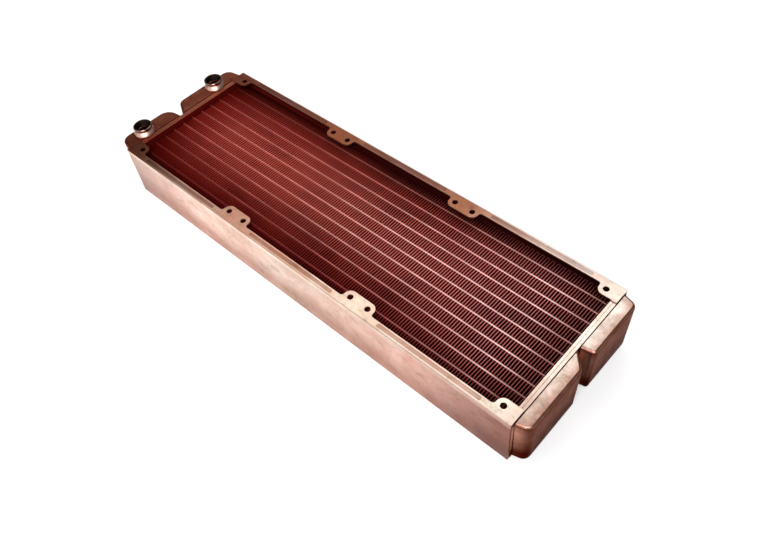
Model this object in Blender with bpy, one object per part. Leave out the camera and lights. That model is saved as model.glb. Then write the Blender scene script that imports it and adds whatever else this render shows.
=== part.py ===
"""Bare copper water-cooling radiator for three 120 mm fans, as an assembly of its soldered pieces.

X runs along the tubes, with the port tank at -X and the return tank at +X. +Z is up, out of the face
that carries the ports. The origin is under the middle of the whole part, on the plane it lies on.
Lengths are in metres.
"""

import math
from collections import namedtuple

import bmesh
import bpy

# Fans: three in a row, each held by four screws.
FAN_SIZE = 0.120
FAN_HOLE_SPACING = 0.105
FAN_COUNT = 3
FAN_HOLE_RADIUS = 0.0021

# Side frames: sheet channels that carry the fan ears on both faces.
THICKNESS = 0.044
FRAME_WIDTH = 0.120
FRAME_HALF_LENGTH = 0.183
SHEET = 0.001
BEND_RADIUS = 0.0008
LIP_WIDTH = 0.005
EAR_RADIUS = 0.005
EAR_ROOT_RADIUS = 0.002

# Core: flat tubes side by side, with a folded fin strip in each gap.
TUBE_COUNT = 11
TUBE_PITCH = 0.00943
TUBE_THICKNESS = 0.0014
TUBE_WALL = 0.0003
CORE_DEPTH = 0.0318
FIN_HALF_LENGTH = 0.1776
FIN_THICKNESS = 0.00025
FIN_LEAF_COUNT = 58
SIDE_PLATE_HALF_LENGTH = 0.1787

# Header plates: slotted trays that hold the tube ends and take the neck of a tank cover.
HEADER_START = 0.179
HEADER_THICKNESS = 0.0012
HEADER_RIM_END = 0.183
HEADER_CORNER_RADIUS = 0.002
TUBE_END = 0.1812

# Tank covers: two pressed lobes with a V notch between them, and a neck that goes into the tray.
# Corner radii go by lobe, low one first, and each lobe's from low y to high y.
Tank = namedtuple("Tank", "depth notch_slopes corner_radii")
RETURN_TANK = Tank(0.0094, (-1.1, 0.18), ((0.0065, 0.0035), (0.0030, 0.0050)))
PORT_TANK = Tank(0.0149, (-0.55, 0.12), ((0.0075, 0.0065), (0.0100, 0.0075)))
JOINT = 0.1838
TANK_TOP_STEP = 0.001
TANK_WALL = 0.001
TANK_EDGE_RADIUS = 0.0022
TANK_HALF_WIDTH = 0.0575
TANK_END_HALF_WIDTH = 0.055
NOTCH_LOW_Y = 0.0054
NOTCH_HIGH_Y = 0.0072
NECK_START = 0.1806
NECK_END = 0.1839
NECK_CORNER_RADIUS = 0.0015
DIVIDER_THICKNESS = 0.0012

# Ports: two threaded bosses on the top of the port tank.
PORT_X = -0.1909
PORT_YS = {"inlet_port_boss": -0.0376, "outlet_port_boss": 0.0346}
PORT_BORE_RADIUS = 0.0058
PORT_RING_RADIUS = 0.0075
PORT_BOWL_RADIUS = 0.0077
PORT_BASE_RADIUS = 0.0070
PORT_GROOVE_RADIUS = 0.0068
PORT_GROOVE_HEIGHT = 0.0027
PORT_HEIGHT = 0.0058
PORT_RIM = 0.0004
TANK_PORT_HOLE_RADIUS = 0.005

GAP = 0.0003
OVERCUT = 0.002
ARC_STEPS = 4
HOLE_SIDES = 16
PORT_SIDES = 32

# The neck clears the inside of the header's rim, which clears the frame's sheet.
NECK_LOW = 2 * (SHEET + GAP)
PASSAGE_END = NECK_END - TANK_WALL

# The port tank is the deeper one, so the middle of the part is off the middle of the fan holes.
FAN_CENTRE_X = (PORT_TANK.depth - RETURN_TANK.depth) / 2


# Outlines: lists of (u, v) points, anticlockwise.


def rounded(corners):
    """The outline through (u, v, radius) corners, with an arc of that radius at each."""
    outline = []
    for index, (u, v, radius) in enumerate(corners):
        if radius == 0:
            outline.append((u, v))
            continue
        before, after = corners[index - 1], corners[(index + 1) % len(corners)]
        back = math.atan2(before[1] - v, before[0] - u)
        ahead = math.atan2(after[1] - v, after[0] - u)
        opening = (ahead - back + math.pi) % math.tau - math.pi
        middle = back + opening / 2
        reach = radius / math.sin(abs(opening) / 2)
        centre_u, centre_v = u + reach * math.cos(middle), v + reach * math.sin(middle)
        sweep = math.copysign(math.pi - abs(opening), opening)
        for step in range(ARC_STEPS + 1):
            angle = middle + math.pi + sweep * (0.5 - step / ARC_STEPS)
            outline.append((centre_u + radius * math.cos(angle), centre_v + radius * math.sin(angle)))
    return outline


def rectangle(half_u, v_low, v_high, radius):
    return rounded([
        (-half_u, v_low, radius), (half_u, v_low, radius),
        (half_u, v_high, radius), (-half_u, v_high, radius),
    ])


def stadium(centre_u, centre_v, width, length):
    """A slot outline, its round ends up and down."""
    radius, reach = width / 2, (length - width) / 2
    outline = []
    for side, turn in ((1, 0.0), (-1, math.pi)):
        for step in range(ARC_STEPS + 1):
            angle = turn + math.pi * step / ARC_STEPS
            outline.append((
                centre_u + radius * math.cos(angle),
                centre_v + side * reach + radius * math.sin(angle),
            ))
    return outline


def circle(centre_u, centre_v, radius, sides):
    angles = [math.tau * step / sides for step in range(sides)]
    return [(centre_u + radius * math.cos(a), centre_v + radius * math.sin(a)) for a in angles]


# Meshes.


def placed(axis, u, v, height):
    """A point of an outline that is drawn across the given axis, at this height along it."""
    return (u, v, height) if axis == "Z" else (height, u, v)


def prism(outline, low, high, axis="Z"):
    mesh = bmesh.new()
    bottom = [mesh.verts.new(placed(axis, u, v, low)) for u, v in outline]
    top = [mesh.verts.new(placed(axis, u, v, high)) for u, v in outline]
    mesh.faces.new(reversed(bottom))
    mesh.faces.new(top)
    for index in range(len(outline)):
        following = (index + 1) % len(outline)
        mesh.faces.new((bottom[index], bottom[following], top[following], top[index]))
    return mesh


def hollow_prism(outer, inner, low, high, axis="Z"):
    """A tube between two outlines with the same number of points, open at both ends."""
    mesh = bmesh.new()
    loops = [
        [mesh.verts.new(placed(axis, u, v, height)) for u, v in outline]
        for outline, height in ((outer, low), (outer, high), (inner, high), (inner, low))
    ]
    for index in range(len(outer)):
        following = (index + 1) % len(outer)
        for first, second in zip(loops, loops[1:] + loops[:1]):
            mesh.faces.new((first[index], first[following], second[following], second[index]))
    return mesh


def turned(profile, centre_x, centre_y, sides):
    """A ring around a vertical line, from the (radius, z) points around its section."""
    mesh = bmesh.new()
    loops = []
    for radius, z in profile:
        loops.append([mesh.verts.new((x, y, z)) for x, y in circle(centre_x, centre_y, radius, sides)])
    for lower, upper in zip(loops, loops[1:] + loops[:1]):
        for index in range(sides):
            following = (index + 1) % sides
            mesh.faces.new((lower[index], lower[following], upper[following], upper[index]))
    return mesh


# Objects.


def copper(name, colour, roughness):
    material = bpy.data.materials.new(name)
    material.use_nodes = True
    shader = material.node_tree.nodes["Principled BSDF"]
    shader.inputs["Base Color"].default_value = (*colour, 1.0)
    shader.inputs["Metallic"].default_value = 1.0
    shader.inputs["Roughness"].default_value = roughness
    material.diffuse_color = (*colour, 1.0)
    return material


def add_object(name, mesh, parent):
    bmesh.ops.recalc_face_normals(mesh, faces=mesh.faces)
    data = bpy.data.meshes.new(name)
    mesh.to_mesh(data)
    mesh.free()
    made = bpy.data.objects.new(name, data)
    bpy.context.scene.collection.objects.link(made)
    made.parent = parent
    return made


def add_piece(name, mesh, parent, material):
    piece = add_object(name, mesh, parent)
    piece.data.materials.append(material)
    piece.data.shade_smooth()
    piece.data.set_sharp_from_angle(angle=math.radians(35))
    return piece


def combine(piece, operation, name, mesh):
    """Joins the mesh to the piece with UNION, or cuts it out with DIFFERENCE."""
    tool = add_object(f"{piece.name}_{name}", mesh, piece.parent)
    tool.rotation_euler = piece.rotation_euler
    tool.hide_render = True
    tool.display_type = "WIRE"
    boolean = piece.modifiers.new(name, "BOOLEAN")
    boolean.operation = operation
    boolean.object = tool
    boolean.solver = "EXACT"


# Side frames.


def fan_hole_positions():
    """The x of every screw hole in one row, from the first fan to the last."""
    centres = [(index - (FAN_COUNT - 1) / 2) * FAN_SIZE for index in range(FAN_COUNT)]
    return [centre + side * FAN_HOLE_SPACING / 2 for centre in centres for side in (-1, 1)]


def flange_outline():
    """The near flange, flat: a narrow lip with an ear at each end and one between each two fans."""
    lip_y = -FRAME_WIDTH / 2 + LIP_WIDTH
    ear_y = -FAN_HOLE_SPACING / 2 + EAR_RADIUS
    holes = fan_hole_positions()
    corners = [
        (-FRAME_HALF_LENGTH, -FRAME_WIDTH / 2 + SHEET, 0),
        (FRAME_HALF_LENGTH, -FRAME_WIDTH / 2 + SHEET, 0),
        (FRAME_HALF_LENGTH, ear_y, 0),
    ]
    # Inner edge, from the +X end back: each gap between ears is a pair of ear sides.
    for last, first in zip(holes[::-2], holes[-2::-2]):
        corners += [
            (last - EAR_RADIUS, ear_y, EAR_RADIUS),
            (last - EAR_RADIUS, lip_y, EAR_ROOT_RADIUS),
            (first + EAR_RADIUS, lip_y, EAR_ROOT_RADIUS),
            (first + EAR_RADIUS, ear_y, EAR_RADIUS),
        ]
    return rounded(corners + [(-FRAME_HALF_LENGTH, ear_y, 0)])


def channel_section():
    """The near channel's web and the start of its two flanges, as a (y, z) outline."""
    outside, inside = -FRAME_WIDTH / 2, -FRAME_WIDTH / 2 + SHEET
    flange_end = outside + LIP_WIDTH / 2
    return rounded([
        (outside, 0, BEND_RADIUS),
        (flange_end, 0, 0),
        (flange_end, SHEET, 0),
        (inside, SHEET, 0),
        (inside, THICKNESS - SHEET, 0),
        (flange_end, THICKNESS - SHEET, 0),
        (flange_end, THICKNESS, 0),
        (outside, THICKNESS, BEND_RADIUS),
    ])


def add_side_frame(name, turn, parent, material):
    web = prism(channel_section(), -FRAME_HALF_LENGTH, FRAME_HALF_LENGTH, axis="X")
    frame = add_piece(name, web, parent, material)
    frame.rotation_euler.z = turn
    combine(frame, "UNION", "top_flange", prism(flange_outline(), THICKNESS - SHEET, THICKNESS))
    combine(frame, "UNION", "bottom_flange", prism(flange_outline(), 0, SHEET))
    for number, x in enumerate(fan_hole_positions(), 1):
        hole = circle(x, -FAN_HOLE_SPACING / 2, FAN_HOLE_RADIUS, HOLE_SIDES)
        combine(frame, "DIFFERENCE", f"hole_{number}", prism(hole, -OVERCUT, THICKNESS + OVERCUT))


# Core.


def tube_positions():
    return [(index - (TUBE_COUNT - 1) / 2) * TUBE_PITCH for index in range(TUBE_COUNT)]


def add_tubes(parent, material):
    for number, y in enumerate(tube_positions(), 1):
        outer = stadium(y, THICKNESS / 2, TUBE_THICKNESS, CORE_DEPTH)
        inner = stadium(y, THICKNESS / 2, TUBE_THICKNESS - 2 * TUBE_WALL, CORE_DEPTH - 2 * TUBE_WALL)
        tube = hollow_prism(outer, inner, -TUBE_END, TUBE_END, axis="X")
        add_piece(f"flat_tube_{number:02}", tube, parent, material)


def fin_outline(centre_y, height):
    """A zigzag ribbon seen from above: each leaf crosses the gap between two tubes."""
    pitch = 2 * FIN_HALF_LENGTH / FIN_LEAF_COUNT
    half_across = FIN_THICKNESS / 2 * math.hypot(height, pitch) / pitch
    crest = height / 2 - half_across
    lower, upper = [], []
    for step in range(FIN_LEAF_COUNT + 1):
        x = -FIN_HALF_LENGTH + step * pitch
        y = centre_y + (crest if step % 2 else -crest)
        lower.append((x, y - half_across))
        upper.append((x, y + half_across))
    return lower + upper[::-1]


def add_fins(parent, material):
    gap = TUBE_PITCH - TUBE_THICKNESS - 2 * GAP
    for number in range(TUBE_COUNT + 1):
        centre_y = tube_positions()[0] + (number - 0.5) * TUBE_PITCH
        low = (THICKNESS - CORE_DEPTH) / 2
        strip = prism(fin_outline(centre_y, gap), low, low + CORE_DEPTH)
        add_piece(f"fin_strip_{number + 1:02}", strip, parent, material)


def add_side_plate(name, turn, parent, material):
    """A shallow channel that backs the outer fins and spaces the core off the frame."""
    inner = tube_positions()[0] - TUBE_PITCH + TUBE_THICKNESS / 2
    outer = -FRAME_WIDTH / 2 + SHEET + GAP
    low = (THICKNESS - CORE_DEPTH) / 2
    high = low + CORE_DEPTH
    section = [
        (outer, low), (inner, low), (inner, high), (outer, high),
        (outer, high - SHEET), (inner - SHEET, high - SHEET),
        (inner - SHEET, low + SHEET), (outer, low + SHEET),
    ]
    plate = prism(section, -SIDE_PLATE_HALF_LENGTH, SIDE_PLATE_HALF_LENGTH, axis="X")
    add_piece(name, plate, parent, material).rotation_euler.z = turn


def add_header_plate(name, turn, parent, material):
    """The +X header; the -X one is the same piece turned round."""
    half_width = FRAME_WIDTH / 2 - SHEET - GAP
    low, high = SHEET + GAP, THICKNESS - SHEET - GAP
    tray = rectangle(half_width, low, high, HEADER_CORNER_RADIUS)
    header = add_piece(name, prism(tray, HEADER_START, HEADER_RIM_END, axis="X"), parent, material)
    header.rotation_euler.z = turn
    hollow = rectangle(half_width - SHEET, low + SHEET, high - SHEET, HEADER_CORNER_RADIUS - SHEET)
    floor = HEADER_START + HEADER_THICKNESS
    combine(header, "DIFFERENCE", "tray", prism(hollow, floor, HEADER_RIM_END + OVERCUT, axis="X"))
    for number, y in enumerate(tube_positions(), 1):
        slot = stadium(y, THICKNESS / 2, TUBE_THICKNESS + 2 * GAP, CORE_DEPTH + 2 * GAP)
        cutter = prism(slot, HEADER_START - OVERCUT, floor + OVERCUT, axis="X")
        combine(header, "DIFFERENCE", f"slot_{number}", cutter)


# Tank covers, made at the +X end.


def lobe_sides(tank, high_side):
    """The two long sides of a lobe, low one first, each as its y at the joint and its slope."""
    outer_slope = (TANK_END_HALF_WIDTH - TANK_HALF_WIDTH) / tank.depth
    low_slope, high_slope = tank.notch_slopes
    if high_side:
        return (NOTCH_HIGH_Y, high_slope), (TANK_HALF_WIDTH, outer_slope)
    return (-TANK_HALF_WIDTH, -outer_slope), (NOTCH_LOW_Y, low_slope)


def lobe_outline(tank, high_side, start, inset=0.0):
    """A lobe seen from above, from x = start to its end wall, moved in by inset on those sides."""
    end = JOINT + tank.depth - inset
    corners = []
    sides = zip(lobe_sides(tank, high_side), (1, -1), tank.corner_radii[high_side])
    for (y, slope), inward, radius in sides:
        y += inward * inset * math.hypot(1, slope)
        corners.append([
            (start, y + slope * (start - JOINT), 0),
            (end, y + slope * (end - JOINT), radius - inset),
        ])
    return rounded(corners[0] + corners[1][::-1])


def lobe_solid(outline, start, low, high):
    """A lobe with its top and bottom edges pressed round, cut off flat at the joint."""
    mesh = prism(outline, low, high)
    rim = [
        edge for edge in mesh.edges
        if abs(edge.verts[0].co.z - edge.verts[1].co.z) < GAP
        and not all(vert.co.x < start + GAP for vert in edge.verts)
    ]
    bmesh.ops.bevel(mesh, geom=rim, offset=TANK_EDGE_RADIUS, segments=3, profile=0.5, affect="EDGES")
    everything = mesh.verts[:] + mesh.edges[:] + mesh.faces[:]
    bmesh.ops.bisect_plane(
        mesh, geom=everything, plane_co=(JOINT, 0, 0), plane_no=(1, 0, 0), clear_inner=True
    )
    bmesh.ops.holes_fill(mesh, edges=[edge for edge in mesh.edges if edge.is_boundary])
    return mesh


def neck_outline(inset):
    half_width = FRAME_WIDTH / 2 - NECK_LOW - inset
    low = NECK_LOW + inset
    return rectangle(half_width, low, THICKNESS - low, NECK_CORNER_RADIUS - inset)


def add_tank_cover(name, turn, tank, parent, material):
    start = JOINT - 3 * TANK_EDGE_RADIUS
    low, high = TANK_TOP_STEP, THICKNESS - TANK_TOP_STEP
    mouth_low = NECK_LOW + TANK_WALL
    neck = prism(neck_outline(0), NECK_START, NECK_END, axis="X")
    cover = add_piece(name, neck, parent, material)
    cover.rotation_euler.z = turn
    for high_side in (False, True):
        label = "high_lobe" if high_side else "low_lobe"
        outline = lobe_outline(tank, high_side, start)
        combine(cover, "UNION", label, lobe_solid(outline, start, low, high))
    hollow = prism(neck_outline(TANK_WALL), NECK_START - OVERCUT, PASSAGE_END, axis="X")
    combine(cover, "DIFFERENCE", "neck_hollow", hollow)
    for high_side in (False, True):
        label = "high" if high_side else "low"
        chamber = lobe_outline(tank, high_side, JOINT + TANK_WALL, TANK_WALL)
        mouth = lobe_outline(tank, high_side, PASSAGE_END - GAP, TANK_WALL + GAP)
        hollow = prism(chamber, low + TANK_WALL, high - TANK_WALL)
        combine(cover, "DIFFERENCE", f"{label}_chamber", hollow)
        combine(cover, "DIFFERENCE", f"{label}_mouth", prism(mouth, mouth_low, THICKNESS - mouth_low))
    return cover


def cut_port_holes(cover):
    """The cover is turned round, so its own x and y are the part's negated."""
    for label, y in PORT_YS.items():
        hole = circle(-PORT_X, -y, TANK_PORT_HOLE_RADIUS, HOLE_SIDES)
        cutter = prism(hole, THICKNESS / 2, THICKNESS + OVERCUT)
        combine(cover, "DIFFERENCE", f"{label}_hole", cutter)


def add_divider(parent, material):
    """Closes the way behind the notch, so that water has to go through the core and back."""
    middle = -(NOTCH_LOW_Y + NOTCH_HIGH_Y) / 2
    low = NECK_LOW + TANK_WALL + GAP
    header_face = -HEADER_START - HEADER_THICKNESS - GAP
    notch_face = -PASSAGE_END + GAP
    strip = [
        (notch_face, middle - DIVIDER_THICKNESS / 2), (header_face, middle - DIVIDER_THICKNESS / 2),
        (header_face, middle + DIVIDER_THICKNESS / 2), (notch_face, middle + DIVIDER_THICKNESS / 2),
    ]
    add_piece("port_tank_divider", prism(strip, low, THICKNESS - low), parent, material)


def boss_profile():
    """Section of a port boss: a bowl-shaped collar, a groove and a round ring, with a plain bore."""
    base = THICKNESS - TANK_TOP_STEP + GAP
    groove = base + PORT_GROOVE_HEIGHT
    top = base + PORT_HEIGHT
    return [
        (PORT_BORE_RADIUS, base),
        (PORT_BASE_RADIUS, base),
        (PORT_BOWL_RADIUS, (base + groove) / 2),
        (PORT_GROOVE_RADIUS, groove),
        (PORT_RING_RADIUS, (groove + top) / 2),
        (PORT_RING_RADIUS - PORT_RIM, top - PORT_RIM),
        (PORT_RING_RADIUS - 2 * PORT_RIM, top),
        (PORT_BORE_RADIUS + PORT_RIM, top),
        (PORT_BORE_RADIUS, top - PORT_RIM),
    ]


def add_bosses(parent, material):
    for name, y in PORT_YS.items():
        add_piece(name, turned(boss_profile(), PORT_X, y, PORT_SIDES), parent, material)


def main():
    for leftover in list(bpy.data.objects):
        bpy.data.objects.remove(leftover)
    radiator = bpy.data.objects.new("radiator", None)
    radiator.location.x = FAN_CENTRE_X
    bpy.context.scene.collection.objects.link(radiator)

    frame_copper = copper("frame_copper", (0.86, 0.55, 0.44), 0.35)
    header_copper = copper("header_copper", (0.88, 0.60, 0.48), 0.30)
    tank_copper = copper("tank_copper", (0.80, 0.50, 0.40), 0.40)
    tube_copper = copper("tube_copper", (0.78, 0.36, 0.28), 0.35)
    fin_copper = copper("fin_copper", (0.70, 0.22, 0.16), 0.40)
    plated = copper("port_plating", (0.35, 0.32, 0.30), 0.15)

    for name, turn in (("side_frame_near", 0), ("side_frame_far", math.pi)):
        add_side_frame(name, turn, radiator, frame_copper)
    for name, turn in (("core_side_plate_near", 0), ("core_side_plate_far", math.pi)):
        add_side_plate(name, turn, radiator, tube_copper)
    for name, turn in (("header_plate_return_end", 0), ("header_plate_port_end", math.pi)):
        add_header_plate(name, turn, radiator, header_copper)
    add_tubes(radiator, tube_copper)
    add_fins(radiator, fin_copper)

    add_tank_cover("return_tank_cover", 0, RETURN_TANK, radiator, tank_copper)
    cut_port_holes(add_tank_cover("port_tank_cover", math.pi, PORT_TANK, radiator, tank_copper))
    add_divider(radiator, tank_copper)
    add_bosses(radiator, plated)


main()
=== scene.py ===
"""The looks of a bare copper water-cooling radiator for three 120 mm fans.

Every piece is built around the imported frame: X runs along the tubes, the ports are at -X, and +Z is
up. Lengths are in metres.
"""

import math
import random
from collections import namedtuple

import bmesh
import bpy
from mathutils import Matrix, Vector


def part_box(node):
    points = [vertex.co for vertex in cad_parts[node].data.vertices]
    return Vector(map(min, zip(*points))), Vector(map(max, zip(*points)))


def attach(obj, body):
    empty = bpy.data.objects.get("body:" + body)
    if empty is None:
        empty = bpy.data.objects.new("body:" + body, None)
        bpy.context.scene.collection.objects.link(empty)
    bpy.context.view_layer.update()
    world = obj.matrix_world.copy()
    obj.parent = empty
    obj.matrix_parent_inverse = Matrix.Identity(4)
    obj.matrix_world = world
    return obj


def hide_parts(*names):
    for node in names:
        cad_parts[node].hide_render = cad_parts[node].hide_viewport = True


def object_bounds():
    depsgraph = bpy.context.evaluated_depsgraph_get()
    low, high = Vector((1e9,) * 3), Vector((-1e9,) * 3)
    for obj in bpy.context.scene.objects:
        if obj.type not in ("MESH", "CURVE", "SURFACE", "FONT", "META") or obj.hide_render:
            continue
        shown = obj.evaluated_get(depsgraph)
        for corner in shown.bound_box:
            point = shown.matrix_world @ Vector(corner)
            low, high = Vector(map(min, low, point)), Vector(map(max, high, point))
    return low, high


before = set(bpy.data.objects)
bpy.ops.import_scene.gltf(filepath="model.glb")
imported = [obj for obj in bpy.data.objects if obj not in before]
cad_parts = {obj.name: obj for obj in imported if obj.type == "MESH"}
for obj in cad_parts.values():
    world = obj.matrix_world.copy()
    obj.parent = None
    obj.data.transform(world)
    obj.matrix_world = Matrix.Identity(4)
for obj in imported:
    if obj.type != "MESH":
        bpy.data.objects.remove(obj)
cad_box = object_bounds()

# Fan faces.
FAN_SIZE = 0.120
FAN_HOLE_SPACING = 0.105
FAN_HOLE_RADIUS = 0.0021

# Sheet of the side frames.
SHEET = 0.001
BEND_RADIUS = 0.0005
LIP_WIDTH = 0.005
EAR_RADIUS = 0.005
EAR_ROOT_RADIUS = 0.002
FRAME_EDGE_RADIUS = 0.00022
GROOVE_OFFSET = 0.0027
GROOVE_HALF_WIDTH = 0.0014
GROOVE_FLARE = 0.00016
GROOVE_DEPTH = 0.0004
GROOVE_END = 0.0120
GROOVE_RUN_OUT = 0.0008

# Core. Leaves wander and lean by about LEAF_SWAY, eased to a new value every SWAY_LEAVES leaves, and
# each one by about LEAF_JITTER besides.
TUBES = 11
TUBE_WALL = 0.0003
# A tube's painted highlight is full down to TUBE_CREST_END below its crest and gone by TUBE_CREST_START.
TUBE_CREST_START = 0.00040
TUBE_CREST_END = 0.00022
FIN_PITCH = 0.00203
FIN_THICKNESS = 0.00038
FIN_BEND = 0.00030
FIN_BEND_SHOULDER = 0.00009
FIN_TWIST = 0.00004
FIN_SHADE_DEPTH = 0.006
LEAF_SWAY = 0.00006
LEAF_JITTER = 0.00003
SWAY_LEAVES = 12
LEAF_SEED = 700
TWIST_SEED = 900

# Headers: the rim is folded back on itself, which leaves a seam along it.
HEM_X = 0.1809
HEM_HALF_WIDTH = 0.0002
HEM_LOW = 0.0019
HEADER_EDGE_RADIUS = 0.00018
HEADER_RIM_WIDTH = 0.0035

# Tanks. Corner radii go by lobe, low one first, and each lobe's from low y to high y.
Tank = namedtuple("Tank", "node turn notch_slopes corner_radii")
RETURN_TANK = Tank(
    "return_tank_cover", 0.0, (-1.1, 0.18), ((0.0065, 0.0035), (0.0030, 0.0050))
)
PORT_TANK = Tank(
    "port_tank_cover", math.pi, (-0.55, 0.12), ((0.0075, 0.0065), (0.0100, 0.0075))
)
JOINT_GAP = 0.0008
JOINT_OVERLAP = 0.0001
TANK_TOP_STEP = 0.001
TANK_WALL = 0.001
TANK_EDGE_RADIUS = 0.0022
TANK_EDGE_STEPS = 7
TANK_HALF_WIDTH = 0.0575
TANK_END_HALF_WIDTH = 0.055
TANK_DRAFT = 0.0009
NOTCH_LOW_Y = 0.0054
NOTCH_HIGH_Y = 0.0072
TANK_CORNER_LEAST = 0.0004
NECK_LOW = 0.0026
NECK_DEPTH = 0.0033
NECK_RADIUS = 0.0015

# Solder in the corners between the side frames and the tanks.
SOLDER_GAP = 0.0001

# Ports: quarter-inch pipe thread, whose flanks are THREAD_STEEPNESS times as steep as a plain V's. The
# bowl's outline is a half wave from BOWL_START on, and the braze at its foot has run out along POOL_X
# and POOL_Y.
PORT_BORE_RADIUS = 0.0058
THREAD_DEPTH = 0.00062
THREAD_PITCH = 0.001337
THREAD_STEEPNESS = 1.6
THREAD_CREST = 0.3
THREAD_START = 0.0006
THREAD_END = 0.0002
THREAD_LEVELS = 40
BORE_RELIEF = 0.00005
COLLAR_GAP = 0.0001
BOWL_HEIGHT = 0.0027
BOWL_START = 0.30
BOWL_STEPS = 16
BRAZE_POOL = 0.0007
POOL_X, POOL_Y = 0.9, -0.5
WAIST_RADIUS = 0.0066
RING_RADIUS = 0.0075
RING_ROLL = 0.0010
RING_ROLL_WIDTH = 0.0008
RING_STEPS = 8
RING_LIP = 0.0001
TANK_PORT_HOLE_RADIUS = 0.0052

ARC_STEPS = 10
ROUND_SIDES = 96
FLOOR_SIZE = 4.0
FLOOR_GAP = 0.0001


# Where the frame puts things.

FRAME_LOW, FRAME_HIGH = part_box("side_frame_near")
CENTRE_X = (FRAME_LOW.x + FRAME_HIGH.x) / 2
HALF_LENGTH = (FRAME_HIGH.x - FRAME_LOW.x) / 2
HALF_WIDTH = -FRAME_LOW.y
THICKNESS = FRAME_HIGH.z
JOINT = HALF_LENGTH + JOINT_GAP

CAMERA_PLACE = (CENTRE_X + 0.27994, -0.2235, 0.41859)
CAMERA_TARGET = (CENTRE_X + 0.05756, -0.02047, THICKNESS)
CAMERA_ROLL = math.radians(-6.94)
CAMERA_LENS = 34.19


# Colours, as values to multiply by or mix to. Lists of (place, colour) stops go from 0 to 1.

PLAIN = (1.0, 1.0, 1.0)
# Painted shade for the tops of the tanks and headers along the near side.
ROSY_SHADE = (0.72, 0.60, 0.56)
TARNISH = (0.86, 0.76, 0.72)
STAIN = (0.50, 0.42, 0.38)
BLOTCHES = (
    (0.36, (0.98, 0.85, 0.82)), (0.46, (0.95, 0.88, 0.83)), (0.56, (0.90, 0.87, 0.81)),
    (0.66, (0.72, 0.60, 0.54)),
)
GRAIN_X, GRAIN_Y, GRAIN_Z = (14, 900, 900), (900, 14, 900), (400, 400, 30)

# A sheet's tones are painted light and shade, going by height: the walls, then a band from band_z, the
# rim from rim_z and the tops from top_z, give or take blend. Each zone has stops along X, over the CAD
# box's length, lighter or darker with how the light falls. Foot is what is left of the walls' colour at
# the lower edge, as painted shade, near_side what is left of the tops' along the near side, also painted
# shade, and ragged is how far the zones' borders wander.
Tones = namedtuple("Tones", "walls band rim tops band_z rim_z top_z blend foot ragged near_side")
BAND_BLEND = 0.0012
RIM_BLEND = 0.0003
FOOT_HEIGHT = 0.6 * THICKNESS

# Painted highlight along the top of the frames' walls and their bends, fading to painted shade at the
# return end.
FRAME_TOP_HIGHLIGHT = ((0.0, (0.90, 0.70, 0.62)), (0.5, (1.0, 0.98, 0.92)), (0.95, (0.58, 0.38, 0.32)))
# Painted light and shade on the near frame: the wall brightest a quarter along and dark at the return
# end, the tops dark at the port end and bright beyond, and the wall darker towards its foot.
NEAR_FRAME_TONES = Tones(
    walls=(
        (0.0, (0.56, 0.37, 0.32)), (0.25, (1.0, 0.78, 0.70)), (0.5, (0.83, 0.71, 0.63)),
        (0.78, (0.78, 0.54, 0.47)), (0.95, (0.29, 0.11, 0.070)),
    ),
    band=FRAME_TOP_HIGHLIGHT,
    rim=FRAME_TOP_HIGHLIGHT,
    tops=(
        (0.0, (0.14, 0.03, 0.015)), (0.08, (0.34, 0.13, 0.08)), (0.20, (1.0, 0.75, 0.64)),
        (0.35, (0.98, 0.60, 0.46)), (0.6, (0.95, 0.80, 0.67)), (1.0, (0.98, 0.90, 0.80)),
    ),
    band_z=THICKNESS - 0.0040, rim_z=THICKNESS - 0.0010, top_z=THICKNESS - 0.0008,
    blend=0.0002, foot=(0.62, 0.49, 0.45), ragged=0.0, near_side=PLAIN,
)
# The far frame's tops carry painted shade over most of their length, lighter only near the return end.
FAR_FRAME_TONES = NEAR_FRAME_TONES._replace(tops=(
    (0.0, (0.38, 0.11, 0.06)), (0.20, (0.50, 0.22, 0.17)), (0.35, (0.46, 0.17, 0.09)),
    (0.50, (0.50, 0.26, 0.20)), (0.66, (0.42, 0.18, 0.10)), (0.80, (0.90, 0.65, 0.54)),
    (0.95, (0.96, 0.88, 0.80)),
))
# Painted light and shade on the tanks: the port tank darker than the return tank, the rolled edges and
# the return tank's outer end darker, the walls much darker towards the foot, and the tops darker along
# the near side.
TANK_TONES = Tones(
    walls=(
        (0.5, (0.36, 0.16, 0.11)), (0.6, (0.56, 0.32, 0.26)), (0.98, (0.56, 0.32, 0.26)),
        (0.995, (0.16, 0.085, 0.075)),
    ),
    band=(
        (0.5, (0.22, 0.08, 0.05)), (0.6, (0.22, 0.08, 0.05)), (0.98, (0.22, 0.08, 0.05)),
        (0.995, (0.11, 0.035, 0.025)),
    ),
    rim=((0.5, (0.26, 0.09, 0.06)), (0.6, (0.52, 0.30, 0.24)), (1.0, (0.46, 0.25, 0.20))),
    tops=(
        (0.5, (0.52, 0.18, 0.115)), (0.6, (1.0, 0.97, 0.93)), (0.984, (1.0, 0.95, 0.90)),
        (0.994, (0.80, 0.58, 0.50)),
    ),
    band_z=THICKNESS - 0.0036, rim_z=THICKNESS - 0.0021, top_z=THICKNESS - 0.00108,
    blend=0.00004, foot=(0.16, 0.10, 0.09), ragged=0.00003, near_side=ROSY_SHADE,
)
# Painted light and shade on the headers: red-brown at the port end, pale at the return end.
HEADER_STOPS = ((0.0, (0.75, 0.27, 0.17)), (0.5, (0.80, 0.31, 0.20)), (0.6, (0.97, 0.86, 0.77)))
# Painted shade for the surfaces that face the core or are hidden, darker towards the return end.
INSIDE_SHADE_STOPS = ((0.0, (0.40, 0.030, 0.022)), (0.4, (0.16, 0.014, 0.012)), (1.0, (0.04, 0.008, 0.006)))
COLLAR_STOPS = ((0.0, (0.78, 0.52, 0.43)), (1.0, (0.78, 0.52, 0.43)))
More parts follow.
